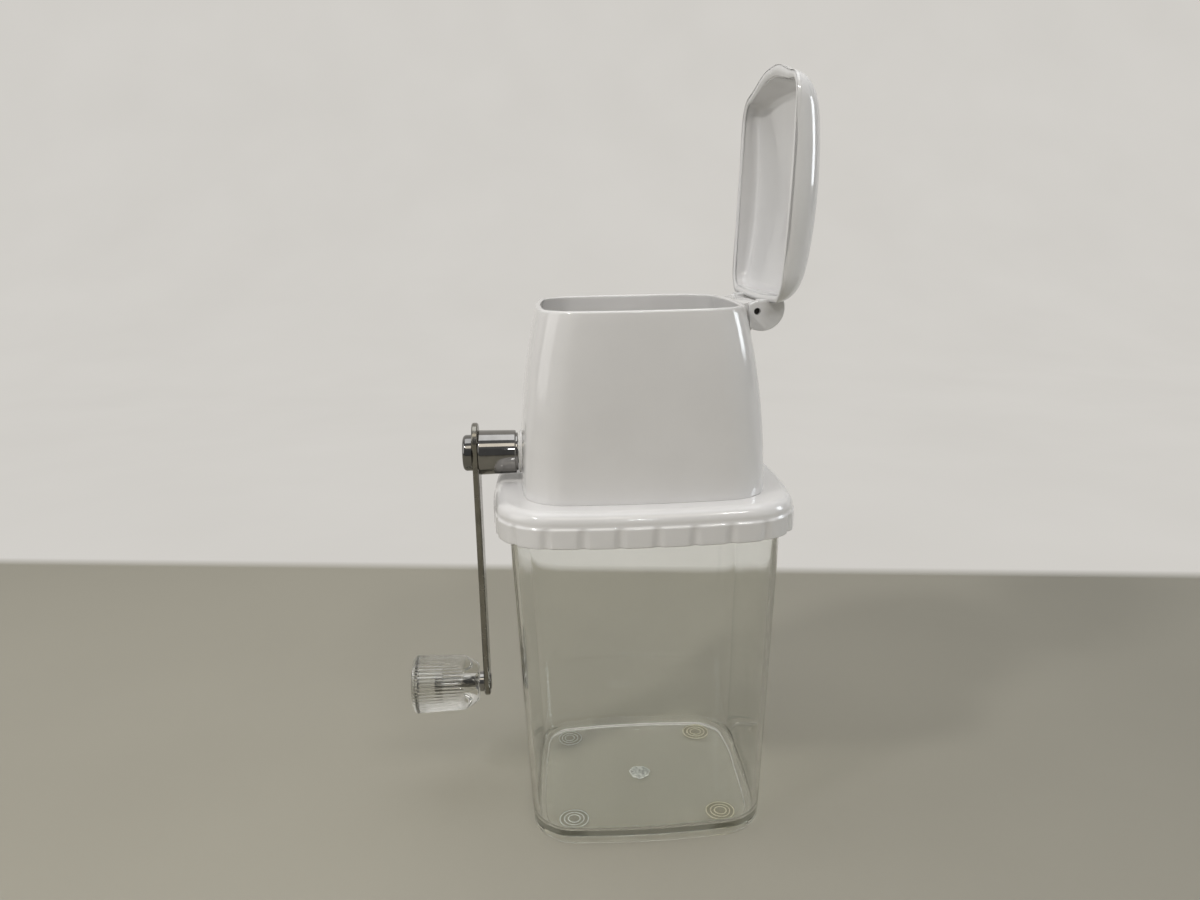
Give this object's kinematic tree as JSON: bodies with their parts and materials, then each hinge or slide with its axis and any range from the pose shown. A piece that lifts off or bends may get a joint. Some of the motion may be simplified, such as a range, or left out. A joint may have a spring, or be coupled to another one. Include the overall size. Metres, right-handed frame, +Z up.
{
  "type": "ice crusher",
  "caption": "Hand-cranked ice crusher: clear container, white hopper with a hinged lid, breaker shaft between fixed combs, side crank with a clear knob.",
  "frame": {"origin": "middle of the container's foot ring, on the surface that it stands on", "axes": "+Z up, +X from the crank side towards the lid's hinge, +Y towards the back"},
  "size_m": [0.1715, 0.1184, 0.3163],
  "materials": {
    "clear_plastic": "clear moulded, polished",
    "pad_gel": "soft clear, slightly yellowed",
    "white_plastic": "gloss moulded",
    "bush_nylon": "satin",
    "stainless": "stamped, satin",
    "shaft_steel": "drawn, satin",
    "chrome_plate": "mirror",
    "arm_steel": "plated, dull",
    "screw_steel": "zinc plated"
  },
  "bodies": {
    "container": {"container": "clear_plastic", "foot_pads": "pad_gel"},
    "head": {"collar_ring": "white_plastic", "collar_screws": "screw_steel", "hopper_shell": "white_plastic", "crank_side_bush": "bush_nylon", "far_side_bush": "bush_nylon", "front_comb": "stainless", "back_comb": "stainless", "comb_screws": "screw_steel"},
    "crank": {"drive_shaft": "shaft_steel", "breaker_plates": "stainless", "plate_spacers": "shaft_steel", "shaft_clip": "stainless", "crank_sleeve": "chrome_plate", "crank_arm": "arm_steel", "cap_nut": "chrome_plate", "knob_spindle": "shaft_steel"},
    "knob": {"crank_knob": "clear_plastic"},
    "lid": {"lid_shell": "white_plastic", "hinge_pin": "shaft_steel"}
  },
  "joints": [
    {"name": "head_lift", "type": "slide", "parent": "container", "child": "head", "axis": [0, 0, 1], "range_m": [0, 0.06]},
    {"name": "crank_spin", "type": "hinge", "parent": "head", "child": "crank", "pos_m": [0, 0, 0.162], "axis": [1, 0, 0], "continuous": true},
    {"name": "knob_spin", "type": "hinge", "parent": "crank", "child": "knob", "pos_m": [-0.088, 0, 0.054], "axis": [1, 0, 0], "continuous": true},
    {"name": "lid_hinge", "type": "hinge", "parent": "head", "child": "lid", "pos_m": [0.0465, 0, 0.2218], "axis": [0, -1, 0], "range_deg": [0, 93]}
  ]
}
